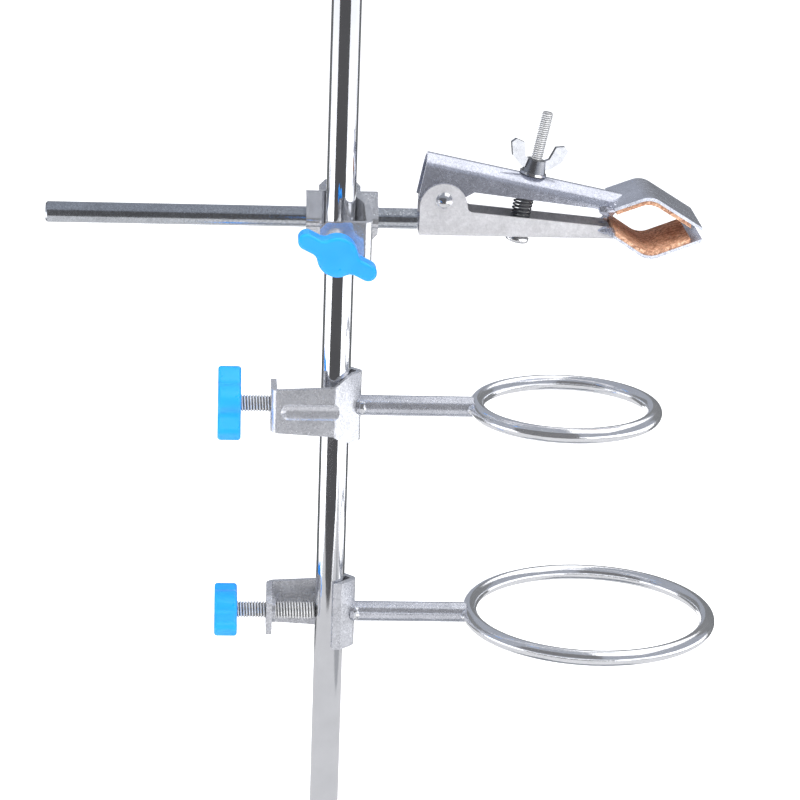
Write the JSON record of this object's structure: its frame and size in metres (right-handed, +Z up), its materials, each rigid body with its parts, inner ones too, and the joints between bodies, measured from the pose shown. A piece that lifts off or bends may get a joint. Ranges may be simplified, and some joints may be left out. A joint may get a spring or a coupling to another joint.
{
  "type": "retort stand",
  "caption": "Retort stand: weighted base, chromed upright rod, boss head with a cork-lined clamp on a cross rod, and ring supports held by blue wing screws.",
  "frame": {"origin": "middle of the footprint's bounding box, on the surface that the feet stand on", "axes": "+Z up along the upright rod, +X from the rod towards the rings and the clamp jaws, +Y towards the back"},
  "size_m": [0.274, 0.135, 0.5045],
  "materials": {
    "knob_plastic": "moulded bright sky-blue plastic, glossy",
    "chromed_rod": "bright chrome plate",
    "cork": "natural granular cork",
    "foot_rubber": "matt black rubber",
    "base_paint": "grey stoved enamel on cast iron",
    "pressed_steel": "plated pressed sheet, slightly mottled",
    "satin_steel": "satin nickel-plated sheet",
    "plated_steel": "bright zinc-plated sheet",
    "spring_steel": "dark spring wire",
    "fastener_steel": "bright zinc-plated fastener"
  },
  "bodies": {
    "stand": {"base_plate": "base_paint", "rubber_feet": "foot_rubber", "foot_screws": "fastener_steel", "upright_rod": "chromed_rod", "rod_lock_washer": "fastener_steel", "rod_lock_nut": "fastener_steel"},
    "boss_head": {"boss_rod_clamp": "pressed_steel", "boss_arm_clamp": "pressed_steel"},
    "cross_rod": {"cross_rod": "chromed_rod"},
    "clamp_frame": {"clamp_lower_arm": "satin_steel", "rod_bearing_block": "satin_steel", "pivot_rivet": "fastener_steel", "clamp_spring": "spring_steel", "lower_jaw": "plated_steel", "lower_jaw_cork": "cork"},
    "clamp_lever": {"clamp_upper_arm": "plated_steel", "upper_jaw": "plated_steel", "upper_jaw_cork": "cork"},
    "clamp_bolt": {"clamp_bolt": "fastener_steel"},
    "nut_washer": {"wing_nut_washer": "fastener_steel"},
    "wing_nut": {"wing_nut": "fastener_steel"},
    "upper_ring_support": {"upper_ring": "chromed_rod", "upper_ring_arm": "chromed_rod", "upper_ring_clamp": "pressed_steel"},
    "lower_ring_support": {"lower_ring": "chromed_rod", "lower_ring_arm": "chromed_rod", "lower_ring_clamp": "pressed_steel"},
    "boss_front_screw": {"boss_front_stud": "fastener_steel"},
    "boss_front_wing": {"boss_front_knob": "knob_plastic"},
    "boss_rear_screw": {"boss_rear_stud": "fastener_steel"},
    "boss_rear_wing": {"boss_rear_knob": "knob_plastic"},
    "upper_ring_screw": {"upper_ring_stud": "fastener_steel"},
    "upper_ring_wing": {"upper_ring_knob": "knob_plastic"},
    "lower_ring_screw": {"lower_ring_stud": "fastener_steel"},
    "lower_ring_wing": {"lower_ring_knob": "knob_plastic"}
  },
  "joints": [
    {"name": "boss_slide", "type": "slide", "parent": "stand", "child": "boss_head", "axis": [0, 0, 1], "range_m": [-0.012, 0.125]},
    {"name": "upper_ring_slide", "type": "slide", "parent": "stand", "child": "upper_ring_support", "axis": [0, 0, 1], "range_m": [-0.018, 0.015]},
    {"name": "lower_ring_slide", "type": "slide", "parent": "stand", "child": "lower_ring_support", "axis": [0, 0, 1], "range_m": [-0.165, 0.02]},
    {"name": "cross_rod_slide", "type": "slide", "parent": "boss_head", "child": "cross_rod", "axis": [1, 0, 0], "range_m": [-0.01, 0.07]},
    {"name": "clamp_swivel", "type": "hinge", "parent": "cross_rod", "child": "clamp_frame", "pos_m": [-0.003, 0.0149, 0.352], "axis": [1, 0, 0], "range_deg": [-90, 90]},
    {"name": "clamp_open", "type": "hinge", "parent": "clamp_frame", "child": "clamp_lever", "pos_m": [-0.0027, 0.0149, 0.3599], "axis": [0, -1, 0], "range_deg": [0, 20], "deforming": ["clamp_spring"]},
    {"name": "bolt_rock", "type": "hinge", "parent": "clamp_frame", "child": "clamp_bolt", "pos_m": [0.0234, 0.0149, 0.3482], "axis": [0, -1, 0], "range_deg": [0, 12.41]},
    {"name": "washer_slide", "type": "slide", "parent": "clamp_bolt", "child": "nut_washer", "axis": [0.1942, 0, 0.981], "range_m": [0, 0.01001]},
    {"name": "wing_nut_turn", "type": "hinge", "parent": "nut_washer", "child": "wing_nut", "pos_m": [0.02767, 0.0149, 0.36978], "axis": [0.1942, 0, 0.981], "range_deg": [0, 5142.5]},
    {"name": "boss_front_feed", "type": "slide", "parent": "boss_head", "child": "boss_front_screw", "axis": [0, -1, 0], "range_m": [0, 0.004]},
    {"name": "boss_front_turn", "type": "hinge", "parent": "boss_front_screw", "child": "boss_front_wing", "pos_m": [-0.0402, -0.034, 0.352], "axis": [0, -1, 0], "range_deg": [0, 1440.5]},
    {"name": "boss_rear_feed", "type": "slide", "parent": "boss_head", "child": "boss_rear_screw", "axis": [0, 1, 0], "range_m": [0, 0.004]},
    {"name": "boss_rear_turn", "type": "hinge", "parent": "boss_rear_screw", "child": "boss_rear_wing", "pos_m": [-0.037, 0.043, 0.352], "axis": [0, 1, 0], "range_deg": [0, 1440.5]},
    {"name": "upper_ring_feed", "type": "slide", "parent": "upper_ring_support", "child": "upper_ring_screw", "axis": [-1, 0, 0], "range_m": [0, 0.004]},
    {"name": "upper_ring_turn", "type": "hinge", "parent": "upper_ring_screw", "child": "upper_ring_wing", "pos_m": [-0.072, 0, 0.29], "axis": [-1, 0, 0], "range_deg": [0, 1440.5]},
    {"name": "lower_ring_feed", "type": "slide", "parent": "lower_ring_support", "child": "lower_ring_screw", "axis": [-1, 0, 0], "range_m": [0, 0.004]},
    {"name": "lower_ring_turn", "type": "hinge", "parent": "lower_ring_screw", "child": "lower_ring_wing", "pos_m": [-0.072, 0, 0.2149], "axis": [-1, 0, 0], "range_deg": [0, 1440.5]}
  ],
  "couplings": [
    {"joint": "wing_nut_turn", "follows": "clamp_open", "ratio": 257.1},
    {"joint": "washer_slide", "follows": "clamp_open", "m_per_rad": 0.028643},
    {"joint": "bolt_rock", "follows": "clamp_open", "ratio": 0.62},
    {"joint": "boss_front_turn", "follows": "boss_front_feed", "rad_per_m": 6283.2},
    {"joint": "boss_rear_turn", "follows": "boss_rear_feed", "rad_per_m": 6283.2},
    {"joint": "upper_ring_turn", "follows": "upper_ring_feed", "rad_per_m": 6283.2},
    {"joint": "lower_ring_turn", "follows": "lower_ring_feed", "rad_per_m": 6283.2}
  ]
}
